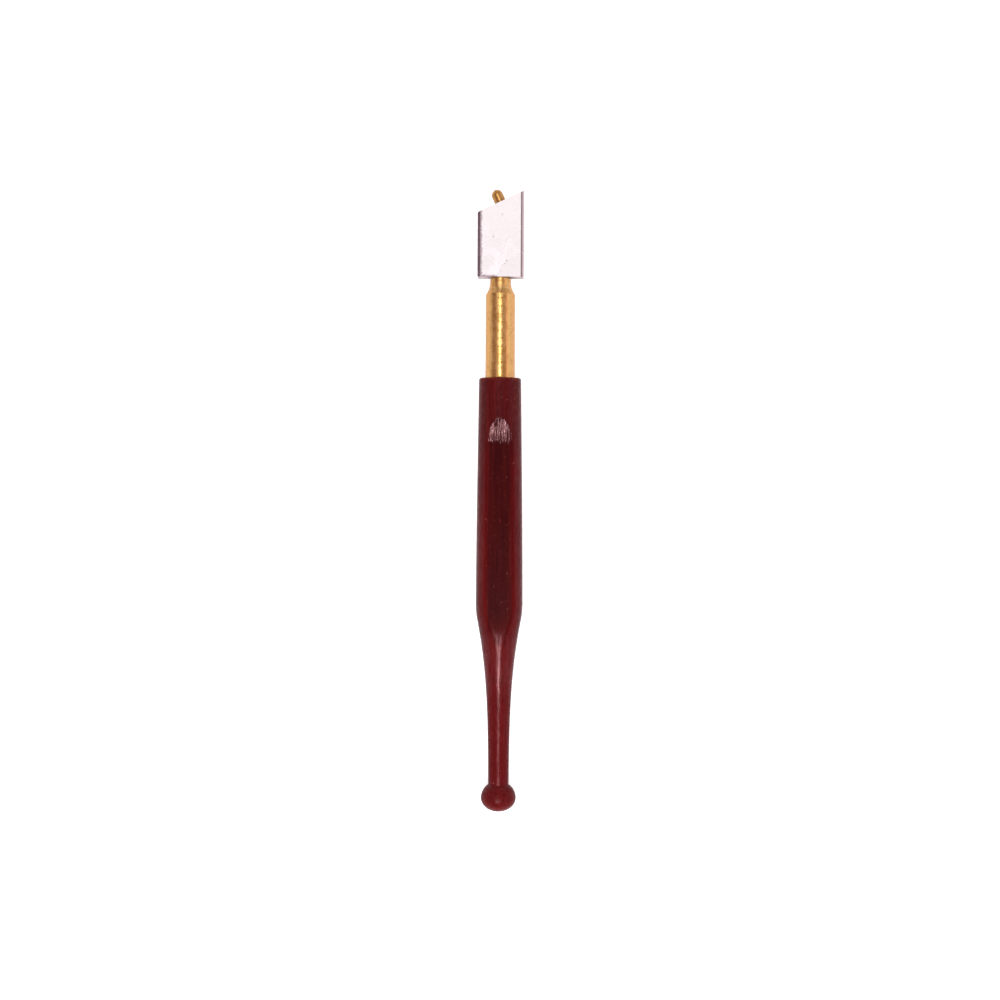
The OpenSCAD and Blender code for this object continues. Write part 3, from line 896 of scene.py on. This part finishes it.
class GLASSCUTTER_OT_head_block(bpy.types.Operator):
    """Cut the guide block to shape, chamfer, drill and round it"""
    bl_idname = "glasscutter.head_block"
    bl_label = "Head Block"

    def execute(self, context):
        s = context.scene.cutter_head
        tip = context.scene.cutter_tip
        size = BLOCK_HIGH - BLOCK_LOW
        centre = (BLOCK_HIGH + BLOCK_LOW) / 2
        deselect()
        bpy.ops.mesh.primitive_cube_add(size=1, location=centre, scale=size)
        block = bpy.context.active_object
        block.name = block.data.name = "guide_block"
        bpy.ops.object.transform_apply(location=True, rotation=True, scale=True)
        slant = slant_of(s)
        frame_of_tip = slant_frame(s)
        cuts = [(frame_of_tip.translation, (-math.sin(slant), math.cos(slant), 0))]
        cuts += [((x * size.x / 2, centre.y, z * (size.z / 2 - s.chamfer_t)),
                  (x * s.chamfer_t, 0, z * s.chamfer_w)) for x in (-1, 1) for z in (-1, 1)]
        set_mode("EDIT")
        for point, normal in cuts:
            select_mesh("SELECT")
            bpy.ops.mesh.bisect(plane_co=point, plane_no=normal, use_fill=True, clear_outer=True,
                                threshold=1e-7)
        select_mesh("SELECT")
        bpy.ops.mesh.normals_make_consistent(inside=False)
        set_mode("OBJECT")
        axis = frame_of_tip.to_3x3() @ Vector((0, 1, 0))
        spindle_r, spindle_in = 2 * MM, 9 * MM
        holes = [rod(spindle_r, 2 * spindle_in, (0, BLOCK_LOW.y, 0), (0, 1, 0), 64),
                 rod(tip.holder_d / 2 + PIN_PLAY, 2 * tip.depth, frame_of_tip.translation, axis, 64)]
        cross_y = (CROSS_LOW.y + CROSS_HIGH.y) / 2
        cross_r = (CROSS_HIGH.x - CROSS_LOW.x) / 2
        holes.append(rod(cross_r + PIN_PLAY, 2 * (CROSS_HIGH.z - BLOCK_LOW.z), (0, cross_y, BLOCK_LOW.z),
                         (0, 0, 1), 48))
        screw_y = (SCREW_LOW.y + SCREW_HIGH.y) / 2
        screw_r = (SCREW_HIGH.y - SCREW_LOW.y) / 2
        holes.append(rod(screw_r + 2 * PIN_PLAY, 2 * (BLOCK_HIGH.x - SCREW_LOW.x),
                         (BLOCK_HIGH.x, screw_y, 0), (1, 0, 0), 64))
        carve(block, holes + pit_cutters(s))
        apply_modifier(block, "BEVEL", width=s.edge_round, segments=3, limit_method="ANGLE",
                       angle_limit=math.radians(20), use_clamp_overlap=True)
        mark_faces(block)
        smooth(35)
        apply_modifier(block, "WEIGHTED_NORMAL", keep_sharp=True, weight=80)
        finish(block, "head", nickel_plate(s), "nickel_plate", "head_block")
        return {"FINISHED"}


class GLASSCUTTER_OT_head_fasteners(bpy.types.Operator):
    """Make the cross pin and the socket set screw"""
    bl_idname = "glasscutter.head_fasteners"
    bl_label = "Head Fasteners"

    def execute(self, context):
        steel = bpy.data.materials["ground_steel"]
        finish(dowel("cross_pin", CROSS_LOW, CROSS_HIGH, 0.15 * MM), "head", steel, "steel", "spindle_pin")
        r = (SCREW_HIGH.y - SCREW_LOW.y) / 2
        total = SCREW_HIGH.x - SCREW_LOW.x
        pitch, groove_and_painted_line = 0.45 * MM, 0.12 * MM
        outline = [(0, 0), (0.05 * MM, 0), (r - groove_and_painted_line, r - groove_and_painted_line - 0.05 * MM)]
        turns = int((total - r - 0.1 * MM) / pitch)
        for i in range(turns):
            low = r + i * pitch
            outline += [(r, low + 0.1 * pitch), (r, low + 0.2 * pitch), (r - groove_and_painted_line, low + 0.6 * pitch)]
        outline += [(r - groove_and_painted_line, total), (0, total)]
        screw = turned("tip_grub_screw", outline, 64)
        y = (SCREW_LOW.y + SCREW_HIGH.y) / 2
        place(screw, Matrix.Translation((SCREW_LOW.x, y, 0)) @ Matrix.Rotation(math.radians(-90), 4, "Z"))
        socket_r, socket_in = 0.75 * MM, 1.1 * MM
        carve(screw, [rod(socket_r, 2 * socket_in, (SCREW_HIGH.x, y, 0), (1, 0, 0), 6)])
        smooth(25)
        black = plain_steel("blackened_steel", (0.05, 0.05, 0.055), 0.35)
        finish(screw, "head", black, "black_steel", "tip_set_screw")
        return {"FINISHED"}


# ---- the tip

class GLASSCUTTER_OT_tip_holder(bpy.types.Operator):
    """Turn the bullet-shaped tip holder and set it in the slanted face"""
    bl_idname = "glasscutter.tip_holder"
    bl_label = "Tip Holder"

    def execute(self, context):
        s = context.scene.cutter_tip
        r, nose = s.holder_d / 2, 0.72 * MM
        straight, end, floor = s.reach - 1.75 * MM, s.reach - LIP_BEHIND, s.reach - SOCKET_BEHIND
        outline = [(0, -s.depth), (r - 0.2 * MM, -s.depth), (r, -s.depth + 0.2 * MM), (r, 0.0),
                   (r, 0.9 * MM), (r, straight)]
        outline += curve((r, straight), (r, straight + 0.55 * MM), (nose + 0.35 * MM, end - 0.1 * MM),
                         (nose, end), 20)
        outline += [(STONE_SOCKET, end - 0.03 * MM), (STONE_SOCKET, floor), (0, floor)]
        holder = turned("bullet_tip_holder", outline, 96, 40)
        # Painted shade: the holder is darker where it leaves the slanted face, fading over its first 0.9
        # mm.
        painted_darkening = [min(1.0, max(0.0, 0.9 - vertex.co.y / MM)) for vertex in holder.data.vertices]
        store(holder.data, "engraved", "POINT", painted_darkening)
        place(holder, slant_frame(context.scene.cutter_head))
        brass = turned_brass("worn_tip_brass", s.brass, (0.42, 0.22, 0.08), 0.24, 0.00002)
        finish(holder, "head", brass, "tip_brass", "tip_holder")
        return {"FINISHED"}


def octahedral_stone(name, s):
    """A four-sided pyramid whose base is drawn down to a second point, with softened edges."""
    deselect()
    bpy.ops.mesh.primitive_cone_add(vertices=4, radius1=s.stone_d / 2, radius2=0, depth=s.stone_half)
    stone = bpy.context.active_object
    stone.name = stone.data.name = name
    set_mode("EDIT")
    select_mesh("DESELECT")
    set_mode("OBJECT")
    for face in stone.data.polygons:
        face.select = face.normal.z < -0.9
    set_mode("EDIT")
    bpy.ops.mesh.extrude_region_move(TRANSFORM_OT_translate={"value": (0, 0, -s.stone_half)})
    bpy.ops.mesh.merge(type="CENTER")
    set_mode("OBJECT")
    turn = Matrix.Translation((0, s.reach - s.stone_half, 0)) @ Matrix.Rotation(math.radians(-90), 4, "X")
    place(stone, turn @ Matrix.Translation((0, 0, s.stone_half / 2)))
    return stone


class GLASSCUTTER_OT_stone(bpy.types.Operator):
    """Set the diamond in its bead of silver braze"""
    bl_idname = "glasscutter.stone"
    bl_label = "Stone and Braze"

    def execute(self, context):
        s = context.scene.cutter_tip
        onto_slant = slant_frame(context.scene.cutter_head)
        end, floor = s.reach - LIP_BEHIND, s.reach - SOCKET_BEHIND
        outline = [(0, floor), (STONE_SOCKET, floor), (STONE_SOCKET, end - 0.02 * MM)]
        outline += curve(outline[-1], (0.52 * MM, end + 0.02 * MM), (0.42 * MM, end + 0.1 * MM),
                         (0.3 * MM, end + 0.15 * MM), 8)
        outline += [(0, end + 0.15 * MM)]
        bead = turned("braze_bead", outline, 64, 50)
        carve(bead, [octahedral_stone("stone_cutter", s)])
        place(bead, onto_slant)
        smooth(40)
        braze = plain_steel("silver_braze", (0.6, 0.52, 0.38), 0.35)
        finish(bead, "head", braze, "silver_braze", "diamond_braze")
        stone = octahedral_stone("diamond_stone", s)
        apply_modifier(stone, "BEVEL", width=0.025 * MM, segments=2, limit_method="ANGLE",
                       angle_limit=math.radians(30))
        place(stone, onto_slant)
        finish(stone, "head", rough_diamond(), "diamond", "diamond")
        return {"FINISHED"}


# ---- the stage

def light_room(s):
    """Soft light all round: a long softbox at the ball's side, a dim warm ceiling and pale walls."""
    world = bpy.data.worlds.new("studio")
    bpy.context.scene.world = world
    world.use_nodes = True
    net = Net(world.node_tree)
    x, y, z = net.split(net.coordinates("Generated"))
    up = net.larger(z, 0.02)
    across = net.math("DIVIDE", x, up)
    along = net.math("DIVIDE", y, up)
    key = net.times(net.soft_box(across, -0.15, 0.07, 0.05), net.ramp(along, -0.25, -0.07, 1.0, 0.0),
                    net.ramp(along, -0.72, -0.55))
    narrowing = net.times(net.larger(along, 0.3), 0.3)
    above_head = net.soft_box(along, 0.08, 1.6, 0.04)
    top = net.times(net.ramp(net.minus(across, narrowing), -0.92, -0.34),
                    net.ramp(net.plus(across, narrowing), 0.47, 0.3), above_head)
    wings = net.plus(net.ramp(x, -0.25, -0.5, 0.0, 2.8 * s.gap), net.ramp(x, 0.25, 0.45, 0.0, 3.5 * s.gap))
    wings = net.times(wings, net.ramp(along, 0.1, -0.15, 0.25, 1.0))
    ceiling = net.plus(wings, s.gap, net.ramp(x, 0.66, 0.76, 0.0, 4.0 * s.gap),
                       net.times(above_head, 0.15))
    top = net.plus(top, net.times(above_head, net.ramp(across, 0.1, 0.5, 0.0, 0.24)))
    around = net.ramp(z, 0.5, 0.25)
    base = net.mix(around, s.ceiling, (1.0, 0.955, 0.98))
    level = net.plus(net.times(around, s.sides), net.times(net.minus(1.0, around), ceiling))
    shine = net.plus(net.times(key, s.key), net.times(top, s.top))
    lit = net.mix(1.0, base, level, "MULTIPLY")
    net.feed(net.mix(1.0, lit, shine, "ADD"), net.tree.nodes["Background"].inputs["Color"])


def lay_floor(s):
    """A wide pale floor that the tool lies on."""
    deselect()
    radius, border = 2.0, 0.2
    bpy.ops.mesh.primitive_circle_add(vertices=128, radius=radius, fill_type="NGON",
                                      location=(0, 0, min(HANDLE_LOW.z, BLOCK_LOW.z)))
    floor = bpy.context.active_object
    floor.name = floor.data.name = "studio_floor"
    bpy.ops.object.transform_apply(location=True, rotation=True, scale=True)
    set_mode("EDIT")
    select_mesh("SELECT")
    bpy.ops.mesh.inset(thickness=border)
    set_mode("OBJECT")
    material, net, shader = new_material("pale_floor")
    shade = net.noise(net.coordinates(), 3.0, 2.0)
    net.feed(net.mix(shade, (0.7, 0.655, 0.675), (0.74, 0.695, 0.715)), shader.inputs["Base Color"])
    set_inputs(shader, Roughness=0.9, Specular_IOR_Level=0.1, Emission_Color=(1.0, 1.0, 1.0, 1.0))
    seen = net.node("ShaderNodeLightPath").outputs["Is Camera Ray"]
    net.feed(net.times(seen, s.floor_glow), shader.inputs["Emission Strength"])
    floor.data.materials.append(material)


class GLASSCUTTER_OT_stage(bpy.types.Operator):
    """Lay the floor, light the room and set up the camera"""
    bl_idname = "glasscutter.stage"
    bl_label = "Stage"

    def execute(self, context):
        s = context.scene.cutter_studio
        lay_floor(s)
        light_room(s)
        deselect()
        bpy.ops.object.camera_add(location=(s.camera_aside, s.camera_along, s.camera_height),
                                  rotation=(0, 0, s.roll))
        camera = bpy.context.active_object
        camera.name = "studio_camera"
        camera.data.lens = s.lens
        camera.data.sensor_width = SENSOR_WIDTH
        camera.data.clip_start = CLIP_START
        context.scene.camera = camera
        context.scene.view_settings.view_transform = "Standard"
        return {"FINISHED"}


# ---- panel and registration

OPERATORS = (GLASSCUTTER_OT_handle, GLASSCUTTER_OT_ferrule, GLASSCUTTER_OT_swivel,
             GLASSCUTTER_OT_head_block, GLASSCUTTER_OT_head_fasteners, GLASSCUTTER_OT_tip_holder,
             GLASSCUTTER_OT_stone, GLASSCUTTER_OT_stage)
SETTINGS = {"cutter_handle": HandleSettings, "cutter_ferrule": FerruleSettings, "cutter_head": HeadSettings,
            "cutter_tip": TipSettings, "cutter_studio": StudioSettings}


class GLASSCUTTER_PT_builder(bpy.types.Panel):
    """Sizes, colours and build steps of the glass cutter"""
    bl_idname = "GLASSCUTTER_PT_builder"
    bl_label = "Glass Cutter"
    bl_space_type = "VIEW_3D"
    bl_region_type = "UI"
    bl_category = "Glass Cutter"

    def draw(self, context):
        for operator in OPERATORS:
            self.layout.operator(operator.bl_idname)
        for group in SETTINGS:
            settings = getattr(context.scene, group)
            box = self.layout.box()
            for name in settings.bl_rna.properties.keys():
                if name not in ("rna_type", "name"):
                    box.prop(settings, name)


def register():
    for cls in (*SETTINGS.values(), *OPERATORS, GLASSCUTTER_PT_builder):
        bpy.utils.register_class(cls)
    for name, cls in SETTINGS.items():
        setattr(bpy.types.Scene, name, PointerProperty(type=cls))


def unregister():
    for name in SETTINGS:
        delattr(bpy.types.Scene, name)
    for cls in reversed((*SETTINGS.values(), *OPERATORS, GLASSCUTTER_PT_builder)):
        bpy.utils.unregister_class(cls)


def main():
    register()
    for operator in OPERATORS:
        group, name = operator.bl_idname.split(".")
        getattr(getattr(bpy.ops, group), name)()
    deselect()


if __name__ == "__main__":
    main()
